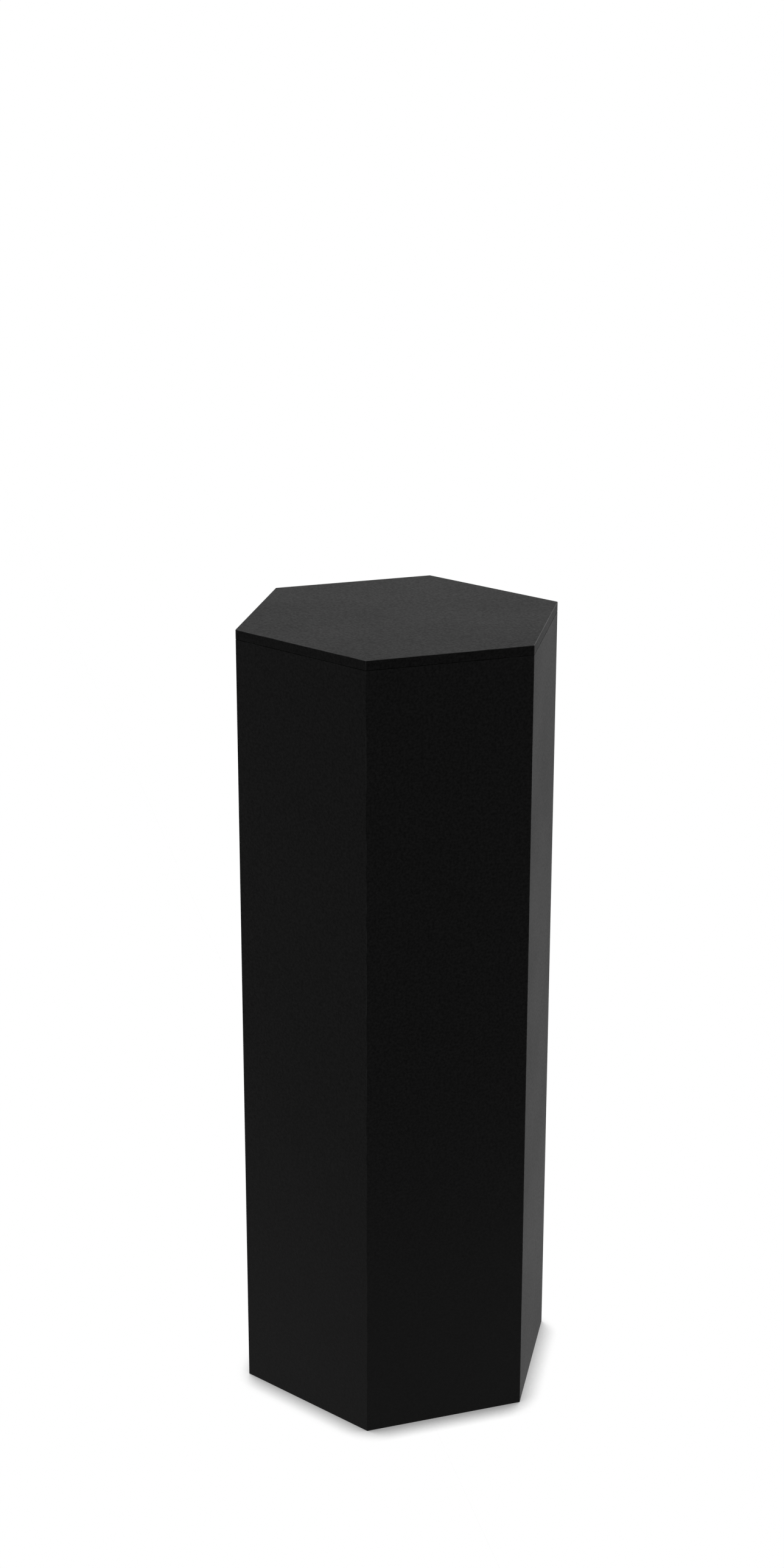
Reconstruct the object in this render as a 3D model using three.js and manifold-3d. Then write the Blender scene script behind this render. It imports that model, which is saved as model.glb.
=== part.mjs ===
// Hexagonal display plinth: six lacquered boards mitred into a column under a flush top board,
// closed below by a recessed base board that carries six levelling feet.
// Units are millimetres and +Z is up. The origin is on the floor, on the plinth's own axis.
// Side 1 is the front, which faces -Y, and the numbers run anticlockwise seen from above.

import * as THREE from "three";
import { mergeVertices } from "three/addons/utils/BufferGeometryUtils.js";
import Module from "manifold-3d";

const wasm = await Module();
wasm.setup();

// Overall form
const height = 1000;
const sideLength = 205;
const sideNames = ["front", "front_right", "back_right", "back", "back_left", "front_left"];

// Boards
const topThickness = 12;
const panelThickness = 12;
const stiffenerThickness = 12;
const baseThickness = 12;
const arrisRadius = 0.8;
const topEasing = 0.6;

// Clearances: the film of glue between joined faces, and the play of a dry fit
const glueLine = 0.3;
const fitGap = 0.3;

// Loose splines in the mitres
const splineThickness = 3;
const splineWidth = 10;
const splineSetback = 1;
const splineAlongShare = 0.65;

// Stiffener half way up, housed in a groove across each panel
const grooveDepth = 4;
const stiffenerLevelShare = 0.5;
const stiffenerHoleRadius = 45;

// Softwood battens under the top and over the base
const battenWidth = 18;
const battenHeight = 18;
const battenEndGap = 2;

// Base board, set up inside the rim
const baseRecess = 24;
const handHoleRadius = 45;

// Countersunk screws, up through the base board into the battens
const screwRadius = 2;
const screwHeadRadius = 4;
const screwHeadHeight = 2.4;
const screwLength = 28;
const screwTipLength = 5;
const screwTipRadius = 0.5;
const screwSink = 0.3;

// Threaded inserts, pressed up into the base board
const flangeRadius = 9;
const flangeThickness = 1.5;
const barrelRadius = 5.5;
const barrelLength = 11;

// Stems: ball end, neck, hexagon collar and M8 shank
const stemRadius = 4;
const stemChamfer = 1;
const stemSpareLength = 10;
const footTravel = 15;
const ballRadius = 4;
const neckRadius = 2.8;
const collarAcrossFlats = 13;
const collarHeight = 6;
const collarChamfer = 0.8;
const footToBatten = 17.3;

// Pads: a moulded foot with a ball socket above and a rubber sole let in below
const padRadius = 19;
const padRimHeight = 3;
const padChamfer = 0.6;
const bossRadius = 8.5;
const bossChamfer = 0.8;
const socketFloor = 1.6;
const mouthRise = 2.6;
const padLip = 3.4;
const soleThickness = 1.8;
const soleProud = 0.8;
const soleEasing = 0.3;

// How far a cutter runs past the face that it leaves by
const overrun = 2;

// Facets round each kind of curve
const arrisSteps = 2;
const fastenerSteps = 16;
const footSteps = 20;
const ballSteps = 6;
const sweepSteps = 3;
const handHoleSteps = 48;

// Places worked out from the sizes above
const sides = sideNames.length;
const turn = (2 * Math.PI) / sides;
const halfTurn = turn / 2;
const apothem = sideLength / 2 / Math.tan(halfTurn);
const circumradius = sideLength / 2 / Math.sin(halfTurn);
const innerApothem = apothem - panelThickness;
const panelHeight = height - topThickness - glueLine;
const stiffenerLevel = panelHeight * stiffenerLevelShare;
const splineAlong = (panelThickness / Math.cos(halfTurn)) * splineAlongShare;
const battenApothem = innerApothem - glueLine;
const baseBattenLevel = baseRecess + baseThickness + glueLine;
const screwApothem = battenApothem - battenWidth / 2;
const screwHoleRadius = screwRadius + fitGap;
const footApothem = battenApothem - battenWidth - footToBatten;
const footCircleRadius = footApothem / Math.cos(halfTurn);
const boreRadius = stemRadius + fitGap;
const insertLevel = baseRecess - glueLine - flangeThickness;
const collarLevel = insertLevel - fitGap - collarHeight;
const shankTop = insertLevel + flangeThickness + barrelLength + footTravel + stemSpareLength;
const socketRadius = ballRadius + fitGap;
const soleRadius = padRadius - padLip - fitGap;
const recessCeiling = soleThickness + fitGap;
const ballLevel = recessCeiling + socketFloor + socketRadius;
const padTop = ballLevel + mouthRise;

// Finishes
function finish(name, color, roughness, metalness) {
  return () => new THREE.MeshStandardMaterial({ name, color, roughness, metalness });
}

const blackLacquer = finish("black_lacquer", "#1a1a1b", 0.5, 0);
const rawFibreboard = finish("raw_fibreboard", "#8e6f50", 0.85, 0);
const birchPly = finish("birch_ply", "#c9a877", 0.7, 0);
const softwood = finish("softwood", "#d2ab74", 0.7, 0);
const zincPlate = finish("zinc_plate", "#b4b7ba", 0.35, 1);
const nylon = finish("nylon", "#1d1e20", 0.55, 0);
const rubber = finish("rubber", "#2b2b2d", 0.9, 0);

// Solids to and from the boolean library. A pole of a revolved profile folds some of its
// triangles flat, and those are dropped.
function toSolid(geometry) {
  const bare = geometry.clone();
  bare.deleteAttribute("normal");
  bare.deleteAttribute("uv");
  const merged = mergeVertices(bare);
  const corners = merged.index.array;
  const kept = [];
  for (let i = 0; i < corners.length; i += 3) {
    const [a, b, c] = corners.slice(i, i + 3);
    if (a !== b && b !== c && c !== a) {
      kept.push(a, b, c);
    }
  }
  return new wasm.Manifold(
    new wasm.Mesh({
      numProp: 3,
      vertProperties: merged.attributes.position.array,
      triVerts: new Uint32Array(kept),
    }),
  );
}

function toGeometry(solid) {
  const mesh = solid.getMesh();
  const geometry = new THREE.BufferGeometry();
  geometry.setAttribute("position", new THREE.BufferAttribute(mesh.vertProperties, mesh.numProp));
  geometry.setIndex(new THREE.BufferAttribute(mesh.triVerts, 1));
  geometry.computeVertexNormals();
  return geometry;
}

function cut(body, ...cutters) {
  const left = cutters.reduce((solid, cutter) => solid.subtract(toSolid(cutter)), toSolid(body));
  return toGeometry(left);
}

// A profile of [radius, level] pairs turned about the Z axis
function revolve(profile, steps) {
  const points = profile.map(([radius, level]) => new THREE.Vector2(radius, level));
  return new THREE.LatheGeometry(points, steps).rotateX(Math.PI / 2);
}

// A plan outline raised from one level by a thickness
function raise(shape, level, thickness) {
  const settings = { depth: thickness, bevelEnabled: false };
  return new THREE.ExtrudeGeometry(shape, settings).translate(0, 0, level);
}

function hole(x, y, radius, steps) {
  const circle = new THREE.EllipseCurve(x, y, radius, radius);
  return new THREE.Path(circle.getPoints(steps).slice(1));
}

// [radius, level] pairs along an arc about a point on the axis
function arcPairs(level, radius, from, to, steps) {
  const arc = new THREE.EllipseCurve(0, level, radius, radius, from, to, from > to);
  return arc.getPoints(steps).map(({ x, y }) => [Math.abs(x), y]);
}

// The direction of corner i from the axis. Corner 0 is at the right-hand end of the front.
function cornerAngle(i) {
  return halfTurn - Math.PI / 2 + i * turn;
}

function polar(radius, angle) {
  return new THREE.Vector2(radius * Math.cos(angle), radius * Math.sin(angle));
}

// Hexagon with its corners rounded to the arris radius, as the lacquered boards have
function easedHexagon() {
  const shape = new THREE.Shape();
  for (let i = 0; i < sides; i += 1) {
    const angle = cornerAngle(i);
    const centre = polar(circumradius - arrisRadius / Math.cos(halfTurn), angle);
    shape.absarc(centre.x, centre.y, arrisRadius, angle - halfTurn, angle + halfTurn, false);
  }
  return shape.closePath();
}

// Hexagon of a given apothem, its corners cut square to the corner ray at a given reach
function clippedHexagon(flatApothem, reach) {
  const tip = flatApothem / Math.cos(halfTurn);
  const radius = Math.min(reach, tip);
  const halfFlat = (tip - radius) / Math.tan(halfTurn);
  const points = [];
  for (let i = 0; i < sides; i += 1) {
    const angle = cornerAngle(i);
    const middle = polar(radius, angle);
    const along = polar(halfFlat, angle + Math.PI / 2);
    points.push(middle.clone().sub(along), middle.clone().add(along));
  }
  return new THREE.Shape(points);
}

// A point at the mitred end of the front panel. Along runs from the outer arris in down the
// mitre, and deep is square to the mitre, into the panel.
function mitrePoint(along, deep) {
  return new THREE.Vector2(
    sideLength / 2 - along * Math.sin(halfTurn) - deep * Math.cos(halfTurn),
    -apothem + along * Math.cos(halfTurn) - deep * Math.sin(halfTurn),
  );
}

// The right-hand end of a panel's section, from its outer face round to its inner one:
// eased arris, mitre face, slot for the loose spline and mitre face again
function mitredEnd() {
  const halfGlue = glueLine / 2;
  const slotHalf = splineThickness / 2 + fitGap;
  const slotDeep = splineWidth / 2 + fitGap;
  const centre = mitrePoint(arrisRadius / Math.cos(halfTurn), 0);
  const from = -Math.PI / 2;
  const to = from + halfTurn - Math.asin(halfGlue / arrisRadius);
  const arris = new THREE.EllipseCurve(centre.x, centre.y, arrisRadius, arrisRadius, from, to);
  const innerAlong = (panelThickness + halfGlue * Math.sin(halfTurn)) / Math.cos(halfTurn);
  return [
    ...arris.getPoints(arrisSteps),
    mitrePoint(splineAlong - slotHalf, halfGlue),
    mitrePoint(splineAlong - slotHalf, slotDeep),
    mitrePoint(splineAlong + slotHalf, slotDeep),
    mitrePoint(splineAlong + slotHalf, halfGlue),
    mitrePoint(innerAlong, halfGlue),
  ];
}

function sidePanel() {
  const right = mitredEnd();
  const left = right.map(({ x, y }) => new THREE.Vector2(-x, y)).reverse();
  const board = raise(new THREE.Shape([...right, ...left]), 0, panelHeight);
  const groove = new THREE.BoxGeometry(
    sideLength,
    grooveDepth + overrun,
    stiffenerThickness + 2 * fitGap,
  ).translate(0, -innerApothem - grooveDepth / 2 + overrun / 2, stiffenerLevel);
  return cut(board, groove);
}

function cornerSpline() {
  const length = panelHeight - 2 * splineSetback;
  const reach = circumradius - splineAlong;
  return new THREE.BoxGeometry(splineWidth, splineThickness, length)
    .translate(0, -reach, panelHeight / 2)
    .rotateZ(halfTurn);
}

function topBoard() {
  const settings = {
    depth: topThickness - 2 * topEasing,
    bevelThickness: topEasing,
    bevelSize: topEasing,
    bevelOffset: -topEasing,
    bevelSegments: arrisSteps,
    curveSegments: arrisSteps,
  };
  const bottom = height - topThickness + topEasing;
  return new THREE.ExtrudeGeometry(easedHexagon(), settings).translate(0, 0, bottom);
}

// The corners are cut off to clear the splines, which run past them
function midStiffener() {
  const flatApothem = innerApothem + grooveDepth - fitGap;
  const reach = circumradius - splineAlong - splineThickness / 2 - fitGap;
  const shape = clippedHexagon(flatApothem, reach);
  shape.holes.push(hole(0, 0, stiffenerHoleRadius, handHoleSteps));
  return raise(shape, stiffenerLevel - stiffenerThickness / 2, stiffenerThickness);
}

// A batten's plan, with mitred ends, lying along the inner face of the front panel
function battenShape() {
  const endGap = battenEndGap / 2 / Math.cos(halfTurn);
  const outerHalf = battenApothem * Math.tan(halfTurn) - endGap;
  const innerHalf = (battenApothem - battenWidth) * Math.tan(halfTurn) - endGap;
  return new THREE.Shape([
    new THREE.Vector2(-outerHalf, -battenApothem),
    new THREE.Vector2(outerHalf, -battenApothem),
    new THREE.Vector2(innerHalf, battenWidth - battenApothem),
    new THREE.Vector2(-innerHalf, battenWidth - battenApothem),
  ]);
}

function topBatten() {
  return raise(battenShape(), panelHeight - battenHeight, battenHeight);
}

function baseBatten() {
  const shape = battenShape();
  shape.holes.push(hole(0, -screwApothem, screwHoleRadius, fastenerSteps));
  return raise(shape, baseBattenLevel, battenHeight);
}

function countersink() {
  const headLevel = baseRecess + screwSink;
  return revolve(
    [
      [0, baseRecess - overrun],
      [screwHeadRadius + fitGap, baseRecess - overrun],
      [screwHeadRadius + fitGap, headLevel],
      [screwHoleRadius, headLevel + screwHeadHeight],
      [0, headLevel + screwHeadHeight],
    ],
    fastenerSteps,
  );
}

function baseBoard() {
  const shape = clippedHexagon(innerApothem - fitGap, circumradius);
  shape.holes.push(hole(0, 0, handHoleRadius, handHoleSteps));
  const sinks = [];
  for (let i = 0; i < sides; i += 1) {
    const foot = polar(footCircleRadius, cornerAngle(i));
    const screw = polar(screwApothem, cornerAngle(i) - halfTurn);
    shape.holes.push(hole(foot.x, foot.y, barrelRadius + fitGap, footSteps));
    shape.holes.push(hole(screw.x, screw.y, screwHoleRadius, fastenerSteps));
    sinks.push(countersink().translate(screw.x, screw.y, 0));
  }
  return cut(raise(shape, baseRecess, baseThickness), ...sinks);
}

function baseScrew() {
  const head = baseRecess + screwSink;
  return revolve(
    [
      [0, head],
      [screwHeadRadius, head],
      [screwRadius, head + screwHeadHeight],
      [screwRadius, head + screwLength - screwTipLength],
      [screwTipRadius, head + screwLength],
      [0, head + screwLength],
    ],
    fastenerSteps,
  ).translate(0, -screwApothem, 0);
}

function threadedInsert() {
  const shoulder = insertLevel + flangeThickness;
  return revolve(
    [
      [boreRadius, insertLevel],
      [flangeRadius, insertLevel],
      [flangeRadius, shoulder],
      [barrelRadius, shoulder],
      [barrelRadius, shoulder + barrelLength],
      [boreRadius, shoulder + barrelLength],
      [boreRadius, insertLevel],
    ],
    footSteps,
  );
}

// The hexagon collar's points are turned off at 30 degrees, as on a nut
function collar() {
  const tip = collarAcrossFlats / 2 / Math.cos(Math.PI / 6);
  const flat = tip - collarChamfer;
  const chamferRise = collarChamfer * Math.tan(Math.PI / 6);
  const top = collarLevel + collarHeight;
  const prism = new THREE.CylinderGeometry(tip, tip, collarHeight, 6)
    .rotateX(Math.PI / 2)
    .translate(0, 0, collarLevel + collarHeight / 2);
  const turned = revolve(
    [
      [0, collarLevel],
      [flat, collarLevel],
      [tip, collarLevel + chamferRise],
      [tip, top - chamferRise],
      [flat, top],
      [0, top],
    ],
    footSteps,
  );
  return toSolid(prism).intersect(toSolid(turned));
}

function footStem() {
  const neckAngle = Math.acos(neckRadius / ballRadius);
  const spindle = revolve(
    [
      ...arcPairs(ballLevel, ballRadius, -Math.PI / 2, neckAngle, ballSteps),
      [neckRadius, collarLevel + collarChamfer],
      [stemRadius, collarLevel + collarHeight - collarChamfer],
      [stemRadius, shankTop - stemChamfer],
      [stemRadius - stemChamfer, shankTop],
      [0, shankTop],
    ],
    footSteps,
  );
  return toGeometry(toSolid(spindle).add(collar()));
}

function footPad() {
  const rimTop = soleProud + padRimHeight;
  const recessRadius = soleRadius + fitGap;
  const mouthAngle = Math.asin(mouthRise / socketRadius);
  const sweep = new THREE.QuadraticBezierCurve(
    new THREE.Vector2(padRadius - padChamfer, rimTop),
    new THREE.Vector2(bossRadius, rimTop),
    new THREE.Vector2(bossRadius, padTop - bossChamfer),
  );
  return revolve(
    [
      [0, recessCeiling],
      [recessRadius, recessCeiling],
      [recessRadius, soleProud],
      [padRadius - padChamfer, soleProud],
      [padRadius, soleProud + padChamfer],
      [padRadius, rimTop - padChamfer],
      ...sweep.getPoints(sweepSteps).map(({ x, y }) => [x, y]),
      [bossRadius - bossChamfer, padTop],
      ...arcPairs(ballLevel, socketRadius, mouthAngle, -Math.PI / 2, ballSteps),
    ],
    footSteps,
  );
}

function padSole() {
  return revolve(
    [
      [0, 0],
      [soleRadius - soleEasing, 0],
      [soleRadius, soleEasing],
      [soleRadius, soleThickness],
      [0, soleThickness],
    ],
    footSteps,
  );
}

// Assembly. Each side's group holds its panel, the spline and foot at its right-hand corner,
// and its battens and screw, and is turned to its place about the plinth's axis.
function add(group, name, geometry, material) {
  const mesh = new THREE.Mesh(geometry, material());
  mesh.name = name;
  group.add(mesh);
}

function levellingFoot(number) {
  const group = new THREE.Group();
  const place = polar(footCircleRadius, cornerAngle(0));
  group.position.set(place.x, place.y, 0);
  add(group, `threaded_insert_${number}`, threadedInsert(), zincPlate);
  add(group, `foot_stem_${number}`, footStem(), zincPlate);
  add(group, `foot_pad_${number}`, footPad(), nylon);
  add(group, `pad_sole_${number}`, padSole(), rubber);
  return group;
}

function side(index) {
  const number = index + 1;
  const group = new THREE.Group();
  group.rotation.z = index * turn;
  add(group, `side_panel_${sideNames[index]}`, sidePanel(), blackLacquer);
  add(group, `corner_spline_${number}`, cornerSpline(), birchPly);
  add(group, `top_batten_${number}`, topBatten(), softwood);
  add(group, `base_batten_${number}`, baseBatten(), softwood);
  add(group, `base_screw_${number}`, baseScrew(), zincPlate);
  group.add(levellingFoot(number));
  return group;
}

const plinth = new THREE.Group();
plinth.name = "display_plinth";
add(plinth, "top_board", topBoard(), blackLacquer);
add(plinth, "mid_stiffener", midStiffener(), rawFibreboard);
add(plinth, "base_board", baseBoard(), rawFibreboard);
sideNames.forEach((_, index) => plinth.add(side(index)));

export default plinth;
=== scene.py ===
"""A hexagonal display plinth in black lacquered board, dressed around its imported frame.

Six boards stand mitred under a flush top board. Splines, battens and a ring stiffener hold them
inside, and a recessed base board below carries six levelling feet. Lengths are in metres, and
sizes are written in millimetres times MM. Side 1 is the front, which faces -Y, and the numbers
run anticlockwise seen from above.
"""

import logging
import math
from collections.abc import Callable, Iterator, Sequence
from contextlib import contextmanager
from dataclasses import dataclass
from enum import Enum, IntEnum

import bmesh
import bpy
from mathutils import Matrix, Vector


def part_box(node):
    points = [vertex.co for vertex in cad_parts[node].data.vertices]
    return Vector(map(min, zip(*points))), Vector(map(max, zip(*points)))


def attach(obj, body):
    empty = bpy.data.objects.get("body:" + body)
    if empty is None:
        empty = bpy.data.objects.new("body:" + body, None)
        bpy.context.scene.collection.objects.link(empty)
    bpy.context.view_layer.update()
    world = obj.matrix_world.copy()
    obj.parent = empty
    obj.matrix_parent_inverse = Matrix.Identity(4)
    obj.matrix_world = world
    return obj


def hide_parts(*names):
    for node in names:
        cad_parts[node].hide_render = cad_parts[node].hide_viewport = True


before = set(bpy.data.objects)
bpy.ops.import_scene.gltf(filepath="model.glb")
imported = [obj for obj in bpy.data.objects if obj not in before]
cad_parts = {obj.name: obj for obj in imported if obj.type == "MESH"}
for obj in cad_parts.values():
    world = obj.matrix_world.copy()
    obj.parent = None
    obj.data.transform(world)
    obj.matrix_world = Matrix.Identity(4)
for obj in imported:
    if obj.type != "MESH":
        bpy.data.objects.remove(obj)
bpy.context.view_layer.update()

log = logging.getLogger("display_plinth")

MM = 0.001
SIDES = 6
TURN = math.tau / SIDES
HALF_TURN = TURN / 2
SIDE_NAMES = ("front", "front_right", "back_right", "back", "back_left", "front_left")
CARCASS = "carcass"
# The screw holes in the base board and its battens, and the cones of the screws' heads
SCREW_HOLE_RADIUS = 2.3 * MM
SCREW_CONE_HEIGHT = 2.4 * MM

# Vertices closer than this are merged
SAME_PLACE = 0.001 * MM
# A vertex this close to a place counts as lying there
NEAR = 0.02 * MM
# A cutter runs this far past the face that it leaves by
OVERRUN = 2 * MM
# Faces that meet at less than this angle are shaded as one
SMOOTH_BELOW = math.radians(35)
# How much of its normal a face has along an axis when it lies square to it, and when it leans
SQUARE = 0.999
LEANING = 0.1
# Nearly all of a noise's values lie in this range
NOISE_RANGE = (0.3, 0.7)
# The wave texture runs through this many radians in each unit of its scale
WAVE_RATE = 20
# The sRGB curve: straight up to the end of its toe, and then a power
TOE_END, TOE_SLOPE = 0.04045, 12.92
CURVE_LIFT, CURVE_POWER = 0.055, 2.4
BRIGHTEST = 255

Profile = list[tuple[float, float]]
Tree = bpy.types.NodeTree
Output = bpy.types.NodeSocket
# What goes into a node's sockets, by their names
Named = dict[str, object]
Look = tuple[Named, Named]


class Element(Enum):
    """What is selected in edit mode."""

    VERTEX = "VERT"
    EDGE = "EDGE"
    FACE = "FACE"


class Cut(Enum):
    """How one solid works on another."""

    AWAY = "DIFFERENCE"
    ON = "UNION"
    TO = "INTERSECT"


class End(Enum):
    """The ends of a board that lies along the X axis, and which way each one points."""

    RIGHT = 1
    LEFT = -1


class Detail(IntEnum):
    """How many finer layers a noise has."""

    SMOOTH = 1
    SOFT = 2
    ROUGH = 3
    RAGGED = 4


class Slot(Enum):
    """The record's material slots, listed beside the feet's parts; no piece is given one here."""

    LACQUER = "black_lacquer"
    FIBREBOARD = "raw_fibreboard"
    SOFTWOOD = "softwood"
    ZINC = "zinc_plate"
    NYLON = "nylon"
    RUBBER = "rubber"


# Plan of the plinth


@dataclass(frozen=True)
class Plan:
    """The plinth's hexagon and main levels, read from the frame, and what its boards share."""

    apothem: float  # from the axis to the middle of a side
    thickness: float  # of the side panels
    seam: float  # the level of the top board's underside
    panel_top: float  # the level at which the side panels end, under the glue
    height: float  # of the whole plinth
    arris: float = 0.8 * MM  # the radius of the upright corners
    spray_reach: float = 2 * MM  # how far in the spray went at a joint

    @classmethod
    def from_frame(cls) -> "Plan":
        """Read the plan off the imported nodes.

        Returns:
            The plan.
        """
        board_low, board_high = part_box("top_board")
        panel_low, panel_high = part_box("side_panel_front")
        return cls(
            apothem=board_high.y,
            thickness=panel_high.y - panel_low.y,
            seam=board_low.z,
            panel_top=panel_high.z,
            height=board_high.z,
        )

    @property
    def side(self) -> float:
        """The length of a side, from corner to corner."""
        return 2 * self.apothem * math.tan(HALF_TURN)

    @property
    def circumradius(self) -> float:
        """The distance from the axis to a corner."""
        return self.apothem / math.cos(HALF_TURN)

    @property
    def arris_width(self) -> float:
        """How far from its corner the rounding of an arris starts, on each face."""
        return self.arris * math.tan(HALF_TURN)


def under(node: str) -> Vector:
    """Return the point on the floor under the middle of a CAD node's box."""
    low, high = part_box(node)
    return Vector(((low.x + high.x) / 2, (low.y + high.y) / 2, 0))


# Modelling, as by hand


def select_only(obj: bpy.types.Object) -> None:
    """Select one object, make it the active one and deselect the rest.

    Args:
        obj: the object to select.
    """
    bpy.ops.object.select_all(action="DESELECT")
    obj.select_set(True)
    bpy.context.view_layer.objects.active = obj


def placed(name: str) -> bpy.types.Object:
    """Name the active object, and put its place, turn and size in its mesh.

    Args:
        name: the piece's name.

    Returns:
        The piece.
    """
    piece = bpy.context.active_object
    select_only(piece)
    bpy.ops.object.transform_apply(location=True, rotation=True, scale=True)
    piece.name = name
    piece.data.name = name
    return piece


def block(name: str, low: Vector, high: Vector) -> bpy.types.Object:
    """Add a block between two corners.

    Args:
        name: the piece's name.
        low: its lowest corner.
        high: its highest corner.

    Returns:
        The block.
    """
    bpy.ops.object.select_all(action="DESELECT")
    bpy.ops.mesh.primitive_cube_add(size=1, location=(low + high) / 2, scale=high - low)
    return placed(name)


def prism(name: str, sides: int, radius: float, low: float, high: float) -> bpy.types.Object:
    """Add an upright prism on the Z axis, with a corner towards +X.

    Args:
        name: the piece's name.
        sides: how many sides it has.
        radius: from its axis to its corners.
        low: the level of its underside.
        high: the level of its top.

    Returns:
        The prism.
    """
    bpy.ops.object.select_all(action="DESELECT")
    bpy.ops.mesh.primitive_cylinder_add(
        vertices=sides,
        radius=radius,
        depth=high - low,
        location=(0, 0, (low + high) / 2),
        rotation=(0, 0, math.pi / 2),
    )
    return placed(name)


@contextmanager
def editing(obj: bpy.types.Object) -> Iterator[None]:
    """Hold an object open in edit mode, selected all over, for the length of a with block.

    Args:
        obj: the object to edit.
    """
    select_only(obj)
    bpy.ops.object.mode_set(mode="EDIT")
    bpy.ops.mesh.select_mode(type=Element.VERTEX.value)
    bpy.ops.mesh.select_all(action="SELECT")
    yield
    bpy.ops.object.mode_set(mode="OBJECT")


def pick(obj: bpy.types.Object, kind: Element, test: Callable[..., bool]) -> None:
    """Select, in edit mode, the edges or faces that pass a test, and nothing else.

    Args:
        obj: the object in edit mode.
        kind: what to select.
        test: takes one edge or face and says whether it is wanted.
    """
    bpy.ops.mesh.select_mode(type=kind.value)
    bpy.ops.mesh.select_all(action="DESELECT")
    mesh = bmesh.from_edit_mesh(obj.data)
    for item in mesh.edges if kind is Element.EDGE else mesh.faces:
        if test(item):
            item.select_set(True)
    mesh.select_flush_mode()
    bmesh.update_edit_mesh(obj.data)


def is_upright(edge: bmesh.types.BMEdge) -> bool:
    """Say whether an edge stands upright."""
    return abs(edge.verts[0].co.z - edge.verts[1].co.z) > NEAR


def runs_along_x(edge: bmesh.types.BMEdge) -> bool:
    """Say whether an edge runs along the X axis."""
    along = edge.verts[0].co - edge.verts[1].co
    return abs(along.x) > NEAR and along.yz.length < NEAR


def level_at(level: float) -> Callable[..., bool]:
    """Return a test for the edges and faces that lie flat at a level.

    Args:
        level: the height at which they lie.

    Returns:
        The test.
    """
    return lambda item: all(abs(vert.co.z - level) < NEAR for vert in item.verts)


def round_at(radius: float, level: float) -> Callable[..., bool]:
    """Return a test for the edges of a level circle about the Z axis.

    Args:
        radius: of the circle.
        level: its height.

    Returns:
        The test.
    """
    flat = level_at(level)
    return lambda edge: flat(edge) and all(
        abs(vert.co.xy.length - radius) < NEAR for vert in edge.verts
    )


def ease(width: float, steps: int = 2) -> None:
    """Round the selected edges off in edit mode.

    Args:
        width: how far from the edge the rounding starts, on each face.
        steps: how many facets it has.
    """
    bpy.ops.mesh.bevel(offset=width, segments=steps, affect="EDGES")


def slice_off(point: Vector, outward: Vector) -> None:
    """Cut all that is in edit mode with a plane, and close the cut.

    Args:
        point: a point on the plane.
        outward: the plane's normal, on the side that is taken off.
    """
    bpy.ops.mesh.select_all(action="SELECT")
    bpy.ops.mesh.bisect(
        plane_co=point,
        plane_no=outward,
        use_fill=True,
        clear_outer=True,
        threshold=SAME_PLACE,
    )


def mend() -> None:
    """Merge the doubles of all that is in edit mode, then turn its faces outwards."""
    bpy.ops.mesh.select_all(action="SELECT")
    bpy.ops.mesh.remove_doubles(threshold=SAME_PLACE)
    bpy.ops.mesh.normals_make_consistent(inside=False)


def work(piece: bpy.types.Object, tool: bpy.types.Object, cut: Cut) -> None:
    """Cut a piece away by a tool, join the tool on to it, or keep what they share.

    Args:
        piece: the piece that is changed.
        tool: the other solid, which is used up.
        cut: what is done.
    """
    select_only(piece)
    bpy.ops.object.modifier_add(type="BOOLEAN")
    modifier = piece.modifiers[-1]
    modifier.operation = cut.value
    modifier.solver = "EXACT"
    modifier.object = tool
    bpy.ops.object.modifier_apply(modifier=modifier.name)
    bpy.data.objects.remove(tool)


def drawn(name: str, start: Vector, moves: list[Vector]) -> bpy.types.Object:
    """Draw a line by extruding a point.

    Args:
        name: the piece's name.
        start: the point.
        moves: the moves that it makes, one after the other.

    Returns:
        The line.
    """
    bpy.ops.object.select_all(action="DESELECT")
    bpy.ops.mesh.primitive_plane_add(size=MM, location=start)
    line = placed(name)
    with editing(line):
        # Drawn together at its middle, the plane is the point
        bpy.ops.mesh.merge(type="CENTER")
        for move in moves:
            bpy.ops.mesh.extrude_region_move(TRANSFORM_OT_translate={"value": move})
    return line


def turned(name: str, profile: Profile, steps: int, closed: bool = False) -> bpy.types.Object:
    """Draw a profile, and spin it about the Z axis.

    Args:
        name: the piece's name.
        profile: its (radius, level) points.
        steps: how many facets go round it.
        closed: whether the profile closes on itself instead of ending on the axis.

    Returns:
        The turned piece.
    """
    points = [Vector((radius, 0, level)) for radius, level in profile]
    if closed:
        points.append(points[0])
    moves = [after - before for before, after in zip(points, points[1:])]
    piece = drawn(name, points[0], moves)
    with editing(piece):
        bpy.ops.mesh.spin(steps=steps, angle=math.tau, center=(0, 0, 0), axis=(0, 0, 1))
        mend()
    return piece


def arc(level: float, radius: float, start: float, end: float, steps: int) -> Profile:
    """Return profile points along an arc about a point on the axis.

    Args:
        level: the height of the arc's centre.
        radius: of the arc.
        start: the angle above the level at which it starts.
        end: the angle above the level at which it ends.
        steps: how many stretches it has.

    Returns:
        The points.
    """
    angles = [start + (end - start) * i / steps for i in range(steps + 1)]
    # An end on the axis may come out a hair past it, which abs turns back
    return [(abs(radius * math.cos(a)), level + radius * math.sin(a)) for a in angles]


def curved(start: Vector, handle: Vector, end: Vector, steps: int) -> Profile:
    """Return profile points along a curve that leaves and arrives towards one handle.

    Args:
        start: the first (radius, level) point.
        handle: the point that both ends head for.
        end: the last point.
        steps: how many stretches it has.

    Returns:
        The points.
    """
    shares = [i / steps for i in range(steps + 1)]
    return [tuple(start.lerp(handle, t).lerp(handle.lerp(end, t), t)) for t in shares]


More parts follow.
